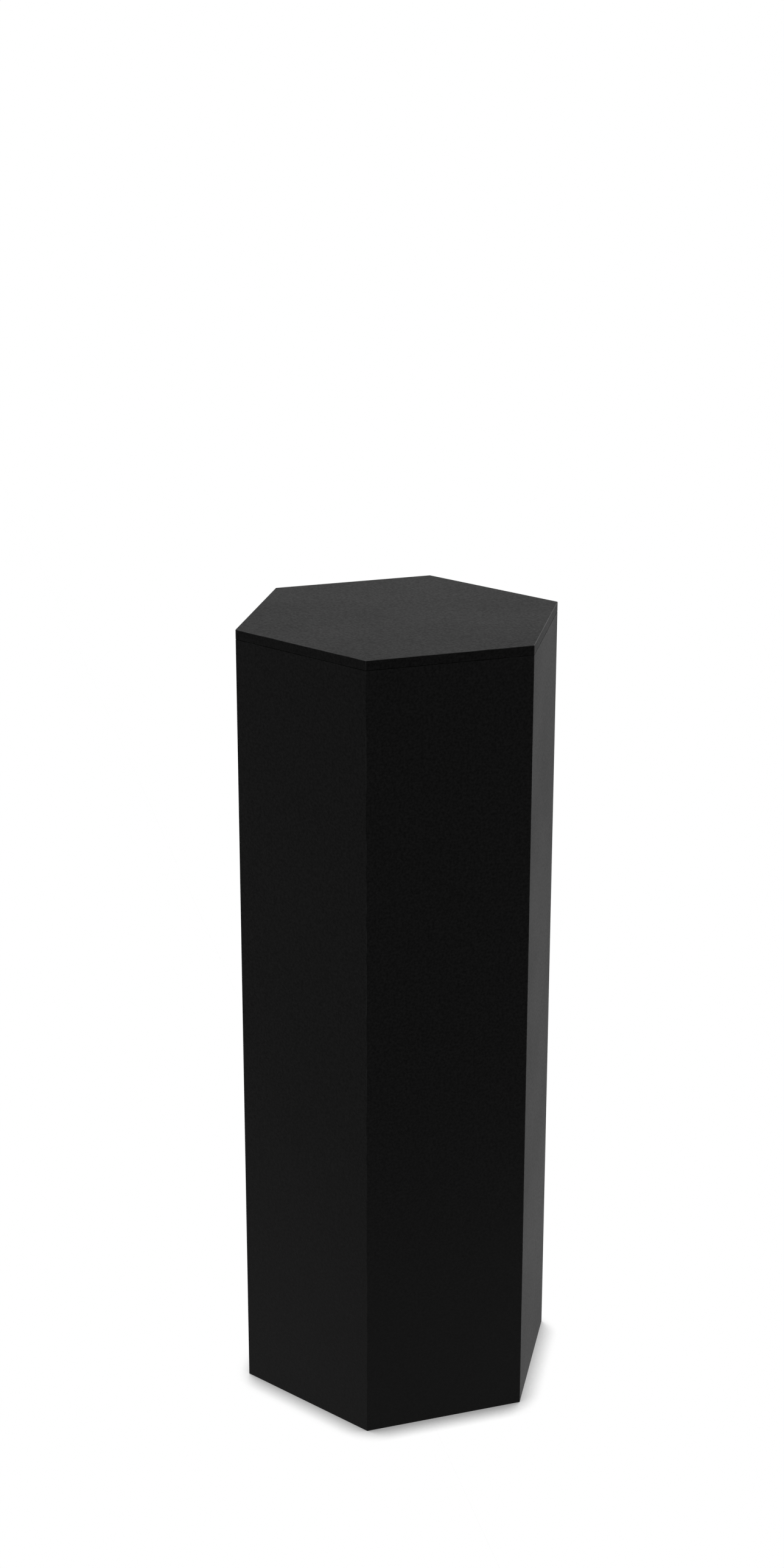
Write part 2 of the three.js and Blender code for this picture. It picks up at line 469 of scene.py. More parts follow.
@dataclass(frozen=True)
class Thread:
    """A vee thread on a rod that ends in a tip."""

    radius: float  # over the crests
    pitch: float  # from crest to crest
    depth: float  # from crest to root
    tip_length: float  # over which the end narrows
    tip_radius: float  # at the very end
    tip_steps: int  # how many facets go round the tip
    crest_share: float = 0.125  # how much of the pitch the flat on the crest takes
    root_share: float = 0.25  # how much of the pitch the flat at the root takes
    steps: int = 24  # how many facets go round the thread
    lead_in: int = 2  # how many turns are modelled under its start, and cut off

    def rod(self, name: str, low: float, high: float) -> bpy.types.Object:
        """Model the threaded rod on the Z axis, cut off square below and with its tip above.

        Args:
            name: the piece's name.
            low: the level at which it starts.
            high: the level at which it ends.

        Returns:
            The rod.
        """
        flank = self.pitch * (1 - self.crest_share - self.root_share) / 2
        moves = [
            Vector((0, 0, self.pitch * self.root_share)),
            Vector((self.depth, 0, flank)),
            Vector((0, 0, self.pitch * self.crest_share)),
            Vector((-self.depth, 0, flank)),
        ]
        start = Vector((self.radius - self.depth, 0, low - self.lead_in * self.pitch))
        rod = drawn(name, start, moves)
        select_only(rod)
        bpy.ops.object.modifier_add(type="SCREW")
        screw = rod.modifiers[-1]
        screw.steps = self.steps
        screw.render_steps = self.steps
        screw.screw_offset = self.pitch
        screw.iterations = math.ceil((high - low) / self.pitch) + self.lead_in + 1
        bpy.ops.object.modifier_apply(modifier=screw.name)
        with editing(rod):
            mend()
            slice_off(Vector((0, 0, low)), Vector((0, 0, -1)))
            slice_off(Vector((0, 0, high)), Vector((0, 0, 1)))
            mend()
        outline = [
            (0, low - OVERRUN),
            (self.radius, low - OVERRUN),
            (self.radius, high - self.tip_length),
            (self.tip_radius, high),
            (0, high),
        ]
        work(rod, turned("rod_outline", outline, self.tip_steps), Cut.TO)
        return rod


def copied(source: bpy.types.Object, name: str, place: Vector, angle: float) -> bpy.types.Object:
    """Copy a piece with a mesh of its own, turned about the Z axis and then moved.

    Args:
        source: the piece to copy.
        name: the copy's name.
        place: how far the copy is moved.
        angle: how far it is turned.

    Returns:
        The copy.
    """
    select_only(source)
    bpy.ops.object.duplicate(linked=False)
    copy = bpy.context.active_object
    copy.location = place
    copy.rotation_euler = (0, 0, angle)
    return placed(name)


def finish_piece(piece: bpy.types.Object, body: str, node: str) -> None:
    """Shade a finished piece, and hand it to the frame in place of its CAD node.

    Args:
        piece: the piece.
        body: the CAD body that it moves with.
        node: the CAD node that it stands for.
    """
    select_only(piece)
    bpy.ops.object.shade_smooth_by_angle(angle=SMOOTH_BELOW)
    bpy.ops.object.modifier_add(type="WEIGHTED_NORMAL")
    modifier = piece.modifiers[-1]
    modifier.keep_sharp = True
    bpy.ops.object.modifier_apply(modifier=modifier.name)
    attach(piece, body)
    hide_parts(node)
    log.info("%s: %d faces, on %s", piece.name, len(piece.data.polygons), body)


def hand_out(
    pattern: bpy.types.Object,
    name: str,
    node: str,
    body: str = CARCASS,
    spacing: float = TURN,
) -> None:
    """Copy a pattern to each CAD node of a kind, finish the copies and take the pattern away.

    Args:
        pattern: the piece, modelled on the Z axis.
        name: the copies' name, without their numbers.
        node: the CAD nodes' name, without their numbers.
        body: the CAD body that a copy moves with, with {} for its number.
        spacing: how far each copy is turned on from the one before.
    """
    for number in range(1, SIDES + 1):
        place = under(f"{node}_{number}")
        copy = copied(pattern, f"{name}_{number}", place, number * spacing)
        finish_piece(copy, body.format(number), f"{node}_{number}")
    bpy.data.objects.remove(pattern)


# Finishes


def linear(colour: str) -> tuple[float, float, float, float]:
    """Turn an sRGB hex colour into linear light.

    Args:
        colour: the colour as #rrggbb.

    Returns:
        Red, green, blue and an alpha of 1.
    """
    light = []
    for value in bytes.fromhex(colour.lstrip("#")):
        share = value / BRIGHTEST
        curve = ((share + CURVE_LIFT) / (1 + CURVE_LIFT)) ** CURVE_POWER
        light.append(share / TOE_SLOPE if share <= TOE_END else curve)
    return (*light, 1.0)


def add_node(
    tree: Tree,
    kind: str,
    inputs: Named | Sequence[object] = (),
    output: str = "",
    **settings: object,
) -> Output | None:
    """Add one shader node with its settings, values and links.

    Args:
        tree: the node tree.
        kind: the node's type, without its prefix.
        inputs: the values and outputs that go into its sockets, by name or in their order.
        output: the output that is wanted, if it isn't the first.
        settings: the node's own properties.

    Returns:
        The output, or nothing where the node has none.
    """
    node = tree.nodes.new(f"ShaderNode{kind}")
    for name, value in settings.items():
        setattr(node, name, value)
    sockets = [socket for socket in node.inputs if socket.enabled]
    if isinstance(inputs, dict):
        names = [socket.name for socket in sockets]
        sockets = [sockets[names.index(name)] for name in inputs]
        inputs = inputs.values()
    for socket, value in zip(sockets, inputs):
        if isinstance(value, bpy.types.NodeSocket):
            tree.links.new(value, socket)
        else:
            socket.default_value = value
    outputs = [socket for socket in node.outputs if socket.enabled]
    named = [socket for socket in outputs if socket.name == output]
    return next(iter(named or outputs), None)


@dataclass(frozen=True)
class Finish:
    """A finish of the plinth's pieces, whose material is made once.

    The scale of each pattern is one over the size of what it draws.
    """

    name: str
    roughness: float
    relief: float  # how high the pattern stands
    sheen: float = 0.05  # how much rougher the pattern's lows are, and its highs smoother
    ior: float = 1.5
    metallic: float = 0.0

    @property
    def roughnesses(self) -> Named:
        """The roughness at the pattern's lows and at its highs."""
        return {"To Min": self.roughness + self.sheen, "To Max": self.roughness - self.sheen}

    def material(self) -> bpy.types.Material:
        """Make the finish's material, the first time that it is asked for.

        Returns:
            The material.
        """
        made = bpy.data.materials.get(self.name)
        if made is None:
            made = bpy.data.materials.new(self.name)
            made.use_nodes = True
            tree = made.node_tree
            tree.nodes.clear()
            look, height = self.pattern(tree, add_node(tree, "TexCoord", output="Object"))
            bumps = add_node(tree, "Bump", {"Distance": self.relief, **height})
            even = {"Metallic": self.metallic, "IOR": self.ior, "Normal": bumps}
            shader = add_node(tree, "BsdfPrincipled", {**look, **even})
            add_node(tree, "OutputMaterial", [shader])
        return made

    def pattern(self, tree: Tree, place: Output) -> Look:
        """Draw the finish's pattern.

        Args:
            tree: the material's nodes.
            place: the object's own coordinates, in metres.

        Returns:
            What goes into the shader, and what goes into its bump.
        """
        raise NotImplementedError

    def dress(self, piece: bpy.types.Object) -> None:
        """Give a piece, or a CAD node, this finish all over."""
        piece.data.materials.clear()
        piece.data.materials.append(self.material())


@dataclass(frozen=True)
class SatinLacquer(Finish):
    """Black satin lacquer, sprayed over sealed fibreboard and left as it came off the gun.

    To the eye it is a soft, even black that turns grey only where it is seen at a low angle,
    with a faint mealy grain and hardly any reflection. The matting agent scatters most of the
    gloss, so the index is matched far under that of a clear lacquer. Low down it is paler.
    Dust accounts for part of that, and a painted glow of the light off the floor for the rest.
    """

    name: str = "sprayed_satin_black_lacquer"
    roughness: float = 0.51
    relief: float = 0.12 * MM
    sheen: float = 0.03
    ior: float = 1.13
    dark: str = "#010101"  # in the hollows of the grain
    light: str = "#0b0b0b"  # on its heights
    # The real grain is about 0.3 mm, drawn coarser so that it shows at the photograph's scale
    grain: float = 3 * MM
    peel: float = 9 * MM  # the size of the ripple that the spray leaves
    peel_depth: float = 0.03 * MM
    cloud: float = 140 * MM  # the size of the patches in which the sheen varies
    cloud_sheen: float = 0.02  # how much smoother or rougher they are
    wear_and_highlight: str = "#2e2e2e"  # where the lacquer is rubbed: wear, and on arris and rim also a painted highlight
    rubbed: float = 0.0  # how softly the rubbed places spread
    rub: float = 30 * MM  # the size of a rubbed place
    rub_peak: float = 0.62  # the noise's value at which a place is rubbed right through
    # Dust, with a painted glow of the floor's light, paler towards the floor
    dust_and_floor_glow: str = "#121212"
    dust_and_floor_glow_share: float = 0.6  # how much of the surface the dust and painted floor glow cover at the floor
    dust_and_floor_glow_height: float = 550 * MM  # the level at which it ends

    def pattern(self, tree: Tree, place: Output) -> Look:
        """Draw the grain, the ripple, the clouds and the rubbed places, and pale the lower part.

        Args:
            tree: the material's nodes.
            place: the object's own coordinates.

        Returns:
            What goes into the shader, and what goes into its bump.
        """
        grain = add_node(tree, "TexNoise", [place, 1 / self.grain, Detail.SOFT])
        speckle = add_node(tree, "MapRange", [grain, *NOISE_RANGE])
        coats = [(speckle, self.light)]
        # Rubbed places are wear, and on the arris and rim also a painted highlight
        if self.rubbed:
            patches = add_node(tree, "TexNoise", [place, 1 / self.rub, Detail.RAGGED])
            rubbing = (self.rub_peak - self.rubbed / 2, self.rub_peak)
            coats.append((add_node(tree, "MapRange", [patches, *rubbing]), self.wear_and_highlight))
        # Paler towards the floor: partly dust, partly a painted glow of the floor's reflected
        # light
        level = add_node(tree, "SeparateXYZ", [place], "Z")
        fade = [level, 0.0, self.dust_and_floor_glow_height, self.dust_and_floor_glow_share, 0.0]
        dust_and_floor_glow_mask = add_node(tree, "MapRange", fade, interpolation_type="SMOOTHSTEP")
        coats.append((dust_and_floor_glow_mask, self.dust_and_floor_glow))
        colour = linear(self.dark)
        for share, coat in coats:
            colour = add_node(tree, "Mix", [share, colour, linear(coat)], data_type="RGBA")
        cloud = add_node(tree, "TexNoise", [place, 1 / self.cloud, Detail.ROUGH])
        sheens = (-self.cloud_sheen, self.cloud_sheen)
        patchy = add_node(tree, "MapRange", [cloud, *NOISE_RANGE, *sheens])
        mealy = add_node(tree, "MapRange", {"Value": speckle, **self.roughnesses})
        rough = add_node(tree, "Math", [mealy, patchy], operation="ADD")
        peel = add_node(tree, "TexNoise", [place, 1 / self.peel, Detail.SMOOTH])
        ripple = add_node(tree, "Bump", {"Height": peel, "Distance": self.peel_depth})
        return {"Base Color": colour, "Roughness": rough}, {"Height": grain, "Normal": ripple}


@dataclass(frozen=True)
class SawnFibreboard(Finish):
    """Medium-density fibreboard, sawn and left raw.

    To the eye it is a warm, even brown with short dark and pale fibres and no grain.
    """

    name: str = "sawn_fibreboard"
    roughness: float = 0.85
    relief: float = 0.05 * MM
    dark: str = "#8c6e4a"  # of the darkest fibres
    middle: str = "#a98861"  # of most of the board
    pale: str = "#ba9a72"  # of its paler clouds
    # The real fibres are about 0.3 mm wide, drawn twice as wide so that they show
    fibre: float = 0.6 * MM
    fibre_range: tuple[float, float] = (0.3, 0.65)  # the noise's values, from dark to pale
    wisp: float = 1.8  # how much the fibres are drawn out and curled
    cloud: float = 18 * MM  # the size of a paler patch

    def pattern(self, tree: Tree, place: Output) -> Look:
        """Draw the fibres over soft clouds.

        Args:
            tree: the material's nodes.
            place: the object's own coordinates.

        Returns:
            What goes into the shader, and what goes into its bump.
        """
        wisps = {"Scale": 1 / self.fibre, "Detail": Detail.ROUGH, "Distortion": self.wisp}
        fibre = add_node(tree, "TexNoise", {"Vector": place, **wisps})
        cloud = add_node(tree, "TexNoise", [place, 1 / self.cloud, Detail.SOFT])
        shades = (linear(self.middle), linear(self.pale))
        ground = add_node(tree, "Mix", [cloud, *shades], data_type="RGBA")
        speckle = add_node(tree, "MapRange", [fibre, *self.fibre_range])
        colour = add_node(tree, "Mix", [speckle, linear(self.dark), ground], data_type="RGBA")
        rough = add_node(tree, "MapRange", {"Value": speckle, **self.roughnesses})
        return {"Base Color": colour, "Roughness": rough}, {"Height": fibre}


@dataclass(frozen=True)
class SawnBirchPly(Finish):
    """Birch plywood, sawn into strips across its veneers.

    To the eye it is pale cream wood on both faces, with a darker core between them where its
    end grain shows.
    """

    name: str = "sawn_birch_ply"
    roughness: float = 0.7
    relief: float = 0.03 * MM
    sheen: float = 0.07
    turn: float = 0.0  # how far the strip is turned about the plinth's axis from the front
    reach: float = 0.0  # how far its middle is from that axis
    veneer: float = 2.2 * MM  # the period of one pale and one dark veneer
    veneer_range: tuple[float, float] = (0.45, 0.55)  # the wave's values, from dark to pale
    face: str = "#d8bb8c"  # of the face veneers
    core: str = "#a67d52"  # of the core
    fibre: float = 0.8 * MM  # the width of a fibre
    stretch: float = 14.0  # how many times longer than wide it is
    # Two of the noise's values, and how strong a fibre's streak is at each
    streak: tuple[float, float, float, float] = (0.4, 0.75, 0.0, 0.35)

    def pattern(self, tree: Tree, place: Output) -> Look:
        """Draw the veneers, with fibres along the strip.

        Args:
            tree: the material's nodes.
            place: the object's own coordinates.

        Returns:
            What goes into the shader, and what goes into its bump.
        """
        centred = {"Rotation": (0, 0, -self.turn), "Location": (0, self.reach, 0)}
        strip = add_node(tree, "Mapping", {"Vector": place, **centred})
        bands = {"wave_type": "BANDS", "bands_direction": "Y"}
        wave = add_node(tree, "TexWave", [strip, math.tau / WAVE_RATE / self.veneer], **bands)
        layer = add_node(tree, "MapRange", [wave, *self.veneer_range])
        along = {"Vector": strip, "Scale": (1, 1, 1 / self.stretch)}
        grain = add_node(tree, "Mapping", along)
        fibre = add_node(tree, "TexNoise", [grain, 1 / self.fibre, Detail.ROUGH])
        streak = add_node(tree, "MapRange", [fibre, *self.streak])
        core, face = linear(self.core), linear(self.face)
        veneers = add_node(tree, "Mix", [layer, core, face], data_type="RGBA")
        colour = add_node(tree, "Mix", [streak, veneers, core], data_type="RGBA")
        rough = add_node(tree, "MapRange", {"Value": layer, **self.roughnesses})
        return {"Base Color": colour, "Roughness": rough}, {"Height": fibre}


@dataclass(frozen=True)
class PlanedPine(Finish):
    """Pine, planed square.

    To the eye it is warm yellow wood, with darker lines of late growth that run along it.
    """

    name: str = "planed_pine"
    roughness: float = 0.62
    relief: float = 0.03 * MM
    sheen: float = 0.08
    turn: float = 0.0  # how far the batten is turned about the plinth's axis from the front
    early: str = "#dcb985"  # of the early growth
    tinge: str = "#cfa671"  # a second colour of the early growth
    late: str = "#b58149"  # of the late growth
    ring: float = 3.2 * MM  # the width of one year's growth
    # Two of the wave's values, and how strong the late growth is at each
    line: tuple[float, float, float, float] = (0.35, 1.0, 0.0, 0.8)
    bend: float = 2.5  # how much the rings bend
    lean: float = 0.55  # how far they lean, in radians
    stretch: float = 22.0  # how many times longer than wide the pattern is
    waver: float = 9 * MM  # the size of the waves in the rings
    fibre: float = 0.5 * MM  # the width of a fibre

    def pattern(self, tree: Tree, place: Output) -> Look:
        """Draw the rings and the fibres along the batten.

        Args:
            tree: the material's nodes.
            place: the object's own coordinates.

        Returns:
            What goes into the shader, and what goes into its bump.
        """
        batten = add_node(tree, "Mapping", {"Vector": place, "Rotation": (0, 0, -self.turn)})
        lean = {"Rotation": (self.lean, 0, 0), "Scale": (1 / self.stretch, 1, 1)}
        grain = add_node(tree, "Mapping", {"Vector": batten, **lean})
        waves = [math.tau / WAVE_RATE / self.ring, self.bend, Detail.SOFT, self.ring / self.waver]
        bands = {"wave_type": "BANDS", "bands_direction": "Z", "wave_profile": "SAW"}
        rings = add_node(tree, "TexWave", [grain, *waves], **bands)
        waver = add_node(tree, "TexNoise", [grain, 1 / self.waver, Detail.SOFT])
        fibre = add_node(tree, "TexNoise", [grain, 1 / self.fibre, Detail.SMOOTH])
        shades = (linear(self.early), linear(self.tinge))
        ground = add_node(tree, "Mix", [waver, *shades], data_type="RGBA")
        line = add_node(tree, "MapRange", [rings, *self.line])
        colour = add_node(tree, "Mix", [line, ground, linear(self.late)], data_type="RGBA")
        rough = add_node(tree, "MapRange", {"Value": line, **self.roughnesses})
        return {"Base Color": colour, "Roughness": rough}, {"Height": fibre}


@dataclass(frozen=True)
class ZincPlate(Finish):
    """Turned steel, bright zinc plated.

    To the eye it is a cool pale grey metal, a little cloudy, with fine rings from the lathe.
    """

    name: str = "bright_zinc_plate"
    roughness: float = 0.31
    relief: float = 0.006 * MM
    sheen: float = 0.07
    metallic: float = 1.0
    light: str = "#c6cacd"  # of the brighter clouds
    dark: str = "#a9adb2"  # of the duller ones
    cloud: float = 5 * MM  # the size of a cloud
    # The real lathe marks are about 0.1 mm apart, drawn coarser so that they show
    mark: float = 0.35 * MM
    stretch: float = 50.0  # how much longer than wide a mark is

    def pattern(self, tree: Tree, place: Output) -> Look:
        """Draw the clouds, and the lathe marks round the axis.

        Args:
            tree: the material's nodes.
            place: the object's own coordinates.

        Returns:
            What goes into the shader, and what goes into its bump.
        """
        cloud = add_node(tree, "TexNoise", [place, 1 / self.cloud, Detail.SOFT])
        lathe = (1 / self.stretch, 1 / self.stretch, 1)
        around = add_node(tree, "Mapping", {"Vector": place, "Scale": lathe})
        marks = add_node(tree, "TexNoise", [around, 1 / self.mark, Detail.SMOOTH])
        shades = (linear(self.dark), linear(self.light))
        colour = add_node(tree, "Mix", [cloud, *shades], data_type="RGBA")
        rough = add_node(tree, "MapRange", {"Value": cloud, **self.roughnesses})
        return {"Base Color": colour, "Roughness": rough}, {"Height": marks}


@dataclass(frozen=True)
class Moulded(Finish):
    """A dark plastic or rubber, moulded in a spark-eroded tool.

    To the eye it is an even near-black with a fine, soft-edged grain.
    """

    roughness: float = 0.5
    relief: float = 0.02 * MM
    sheen: float = 0.08
    ior: float = 1.53
    light: str = "#202124"  # on the grain's heights
    dark: str = "#18191b"  # in its hollows
    # The real grain is about 0.1 mm, drawn coarser so that it shows
    grain: float = 0.5 * MM

    def pattern(self, tree: Tree, place: Output) -> Look:
        """Draw the grain that the tool left.

        Args:
            tree: the material's nodes.
            place: the object's own coordinates.

        Returns:
            What goes into the shader, and what goes into its bump.
        """
        grain = add_node(tree, "TexNoise", [place, 1 / self.grain, Detail.SMOOTH])
        shades = (linear(self.dark), linear(self.light))
        colour = add_node(tree, "Mix", [grain, *shades], data_type="RGBA")
        rough = add_node(tree, "MapRange", {"Value": grain, **self.roughnesses})
        return {"Base Color": colour, "Roughness": rough}, {"Height": grain}


LACQUER_FACE = SatinLacquer()
# The top was sprayed lying flat, so its coat is a little thicker, with more sheen; the paler
# heights of its grain are a painted sheen where the top catches the light
LACQUER_TOP_PAINTED_SHEEN = SatinLacquer(
    "satin_black_lacquer_on_top_with_painted_sheen", roughness=0.48, ior=1.134, light="#191919"
)
# The sawn edge of a fibreboard drinks the first coats, so it ends a little duller and darker
LACQUER_EDGE = SatinLacquer(
    "satin_black_lacquer_on_edge", roughness=0.54, ior=1.118, light="#0a0a0a"
)
# On an upright arris the lacquer is thin, a little paler and rubbed in places: partly wear, partly
# a painted highlight for the faint light line along it
LACQUER_ARRIS_WEAR_AND_HIGHLIGHT = SatinLacquer(
    "thin_lacquer_on_arris_with_wear_and_highlight",
    roughness=0.5,
    dark="#020202",
    light="#0d0d0d",
    wear_and_highlight="#1a1a1a",
    rubbed=0.3,
)
# Round the top the lacquer is painted much lighter all along, a painted highlight for the fine
# light line that the rim catches, with rubbed patches of wear on it
LACQUER_RIM_PAINTED_HIGHLIGHT = SatinLacquer(
    "lacquer_on_rim_with_painted_highlight",
    roughness=0.45,
    ior=1.2,
    dark="#1c1c1c",
    light="#282828",
    wear_and_highlight="#363636",
    rubbed=0.5,
)
FIBREBOARD = SawnFibreboard()
ZINC = ZincPlate()
NYLON = Moulded("moulded_black_nylon")
RUBBER = Moulded(
    "moulded_black_rubber", roughness=0.85, ior=1.52, light="#2c2c2e", dark="#232325"
)


def paint(piece: bpy.types.Object, choose: Callable[[bpy.types.MeshPolygon], Finish]) -> None:
    """Give each face of a piece a finish of its own.

    Args:
        piece: the piece.
        choose: takes a face and returns its finish.
    """
    chosen = [choose(face) for face in piece.data.polygons]
    finishes = list(dict.fromkeys(chosen))
    piece.data.materials.clear()
    for finish in finishes:
        piece.data.materials.append(finish.material())
    for face, finish in zip(piece.data.polygons, chosen):
        face.material_index = finishes.index(finish)


def show(node: str, finish: Finish) -> None:
    """Give a finish to a CAD node that stays in view, and report it.

    Args:
        node: the CAD node.
        finish: its finish.
    """
    finish.dress(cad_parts[node])
    log.info("%s: shown as packed, in %s", node, finish.name)


# Carcass


@dataclass
class TopBoard:
    """The hexagonal board on top, flush with the sides."""

    plan: Plan
    easing: float = 0.6 * MM  # the radius of its upper and lower edges
    steps: int = 4  # how many facets a rounding has

    def build(self) -> None:
        """Model the board and put it on the carcass."""
        plan = self.plan
        board = prism("top_board_lacquered", SIDES, plan.circumradius, plan.seam, plan.height)
        with editing(board):
            pick(board, Element.EDGE, is_upright)
            ease(plan.arris_width, self.steps)
            for level in (plan.height, plan.seam):
                pick(board, Element.EDGE, level_at(level))
                ease(self.easing, self.steps)
            # Underneath, the spray reached only a little way in from the edge
            pick(board, Element.FACE, level_at(plan.seam))
            bpy.ops.mesh.inset(thickness=plan.spray_reach - self.easing)
            mend()
        paint(board, self.finish_of)
        finish_piece(board, CARCASS, "top_board")

    def finish_of(self, face: bpy.types.MeshPolygon) -> Finish:
        """Return the finish of a face: top or rim, both with painted light, bare underside, arris
        or edge.

        Args:
            face: the face.

        Returns:
            The finish.
        """
        rise, reach = face.normal.z, face.center.xy.length
        if rise > LEANING:
            # The top takes its painted sheen, and the rim its painted highlight
            return LACQUER_TOP_PAINTED_SHEEN if rise > SQUARE else LACQUER_RIM_PAINTED_HIGHLIGHT
        if rise < -SQUARE and reach < NEAR:
            return FIBREBOARD
        on_corner = rise > -LEANING and reach > self.plan.circumradius - self.plan.arris
        return LACQUER_ARRIS_WEAR_AND_HIGHLIGHT if on_corner else LACQUER_EDGE


@dataclass
class SidePanels:
    """The six mitred boards that make the column."""

    plan: Plan
    top_easing: float = 0.25 * MM  # how much the upper edge is eased, under the seam
    rim_easing: float = 0.5 * MM  # how much the lower edge is eased
    steps: int = 3  # how many facets half of an arris has
    glue: float = 0.1 * MM  # the film of glue in a mitre
    fit: float = 0.3 * MM  # the play of a dry fit
    spline_width: float = 10 * MM  # of the loose spline, across the mitre
    spline_thickness: float = 3 * MM
    spline_along_share: float = 0.65  # where it lies along the mitre, from its outer end
    groove_depth: float = 4 * MM  # of the groove for the stiffener

    def build(self) -> None:
        """Model the front panel, and copy it round the column."""
        panel = self.board()
        for end in End:
            self.mitre(panel, end)
        self.ease_ends(panel)
        for end in End:
            work(panel, self.spline_slot(end), Cut.AWAY)
        work(panel, self.groove(), Cut.AWAY)
        with editing(panel):
            mend()
            # On the ends and mitres, the spray reached only a little way in from the face
            bpy.ops.mesh.bisect(
                plane_co=(0, self.plan.spray_reach - self.plan.apothem, 0),
                plane_no=(0, 1, 0),
                threshold=SAME_PLACE,
            )
        paint(panel, self.finish_of)
        for index, side_name in enumerate(SIDE_NAMES):
            copy = copied(panel, f"panel_{side_name}", Vector(), index * TURN)
            finish_piece(copy, CARCASS, f"side_panel_{side_name}")
        bpy.data.objects.remove(panel)

    def board(self) -> bpy.types.Object:
        """Model the sawn board, longer than the side by room for its mitres.

        Returns:
            The board.
        """
        plan = self.plan
        reach = plan.side / 2 + plan.thickness
        low = Vector((-reach, -plan.apothem, 0))
        high = Vector((reach, plan.thickness - plan.apothem, plan.panel_top))
        return block("panel_pattern", low, high)

    def mitre(self, panel: bpy.types.Object, end: End) -> None:
        """Cut one end to its mitre. The arris is rounded whole, before the mitre halves it.

        Args:
            panel: the board.
            end: which end.
        """
        corner = Vector((end.value * self.plan.side / 2, -self.plan.apothem, 0))
        # Square to the next side's face, and square to the mitre
        next_face = Vector((end.value * math.cos(HALF_TURN), -math.sin(HALF_TURN), 0))
        square = Vector((end.value * math.cos(HALF_TURN), math.sin(HALF_TURN), 0))
        with editing(panel):
            slice_off(corner, next_face)
            pick(
                panel,
                Element.EDGE,
                lambda edge: all((vert.co - corner).xy.length < NEAR for vert in edge.verts),
            )
            ease(self.plan.arris_width, 2 * self.steps)
            slice_off(corner - square * self.glue / 2, square)

    def ease_ends(self, panel: bpy.types.Object) -> None:
        """Ease the outer edges of the panel's two ends.

        Args:
            panel: the mitred board.
        """
        outer = self.plan.arris - self.plan.apothem
        for level, width in ((self.plan.panel_top, self.top_easing), (0.0, self.rim_easing)):
            flat = level_at(level)
            with editing(panel):
                pick(
                    panel,
                    Element.EDGE,
                    lambda edge: flat(edge) and all(v.co.y < outer for v in edge.verts),
                )
                ease(width)

    def spline_slot(self, end: End) -> bpy.types.Object:
        """Model the cutter of one end's slot for the loose spline.

        Args:
            end: which end.

        Returns:
            The cutter.
        """
        mitre_length = self.plan.thickness / math.cos(HALF_TURN)
        reach = self.plan.circumradius - mitre_length * self.spline_along_share
        half_width = self.spline_width / 2 + self.fit
        half_thickness = self.spline_thickness / 2 + self.fit
        low = Vector((-half_width, -reach - half_thickness, -OVERRUN))
        high = Vector((half_width, half_thickness - reach, self.plan.panel_top + OVERRUN))
        cutter = block("slot_cutter", low, high)
        cutter.rotation_euler = (0, 0, end.value * HALF_TURN)
        return placed("slot_cutter")

    def groove(self) -> bpy.types.Object:
        """Model the cutter of the groove that houses the stiffener.

        Returns:
            The cutter.
        """
        reach = self.plan.side / 2
        inner = self.plan.thickness - self.plan.apothem
        stiffener_low, stiffener_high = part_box("mid_stiffener")
        low = Vector((-reach, inner - self.groove_depth, stiffener_low.z - self.fit))
        high = Vector((reach, inner + OVERRUN, stiffener_high.z + self.fit))
        return block("groove_cutter", low, high)

    def finish_of(self, face: bpy.types.MeshPolygon) -> Finish:
        """Return the finish of a face of the front panel: bare, edge, face or arris.

        Args:
            face: the face.

        Returns:
            The finish.
        """
        rise, outward = face.normal.z, -face.normal.y
        if face.center.y > self.plan.spray_reach - self.plan.apothem:
            # Further in, only the edge that stands on the floor is coated
            return LACQUER_EDGE if rise < -SQUARE else FIBREBOARD
        if rise < -LEANING or rise > SQUARE or outward < 0:
            return LACQUER_EDGE
        return LACQUER_FACE if outward > SQUARE else LACQUER_ARRIS_WEAR_AND_HIGHLIGHT


@dataclass
class Stiffening:
    """What holds the column inside: splines in the mitres, a ring board and glue battens."""

    easing: float = 0.8 * MM  # how much a batten's long edges are eased
    pilot_radius: float = SCREW_HOLE_RADIUS  # in a base batten
    hole_steps: int = 24  # how many facets go round that hole

    def build(self) -> None:
        """Dress the splines and the ring board, and model the battens."""
        show("mid_stiffener", FIBREBOARD)
        for index in range(SIDES):
            node, turn = f"corner_spline_{index + 1}", index * TURN + HALF_TURN
            name, reach = f"sawn_birch_ply_{index + 1}", under(node).length
            show(node, SawnBirchPly(name, turn=turn, reach=reach))
        base = self.batten("base_batten_1")
        work(base, self.pilot(), Cut.AWAY)
        patterns = {"top_batten": self.batten("top_batten_1"), "base_batten": base}
        for kind, pattern in patterns.items():
            for index in range(SIDES):
                number, turn = index + 1, index * TURN
                piece = copied(pattern, f"{kind}_planed_{number}", Vector(), turn)
                PlanedPine(f"planed_pine_{number}", turn=turn).dress(piece)
                finish_piece(piece, CARCASS, f"{kind}_{number}")
            bpy.data.objects.remove(pattern)

    def batten(self, node: str) -> bpy.types.Object:
        """Model one batten of the front side, with mitred ends and eased edges.

        Args:
            node: the CAD node that gives its size and place.

        Returns:
            The batten.
        """
        low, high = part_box(node)
        piece = block(f"{node}_pattern", low, high)
        with editing(piece):
            for end in End:
                corner = Vector((end.value * high.x, low.y, 0))
                square = Vector((end.value * math.cos(HALF_TURN), math.sin(HALF_TURN), 0))
                slice_off(corner, square)
            pick(piece, Element.EDGE, runs_along_x)
            ease(self.easing)
            mend()
        return piece

    def pilot(self) -> bpy.types.Object:
        """Model the cutter of the screw hole in the front base batten.

        Returns:
            The cutter.
        """
        low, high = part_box("base_batten_1")
        start, end = low.z - OVERRUN, high.z + OVERRUN
        cutter = prism("pilot_cutter", self.hole_steps, self.pilot_radius, start, end)
        cutter.location = under("base_screw_1")
        return placed("pilot_cutter")


# Base


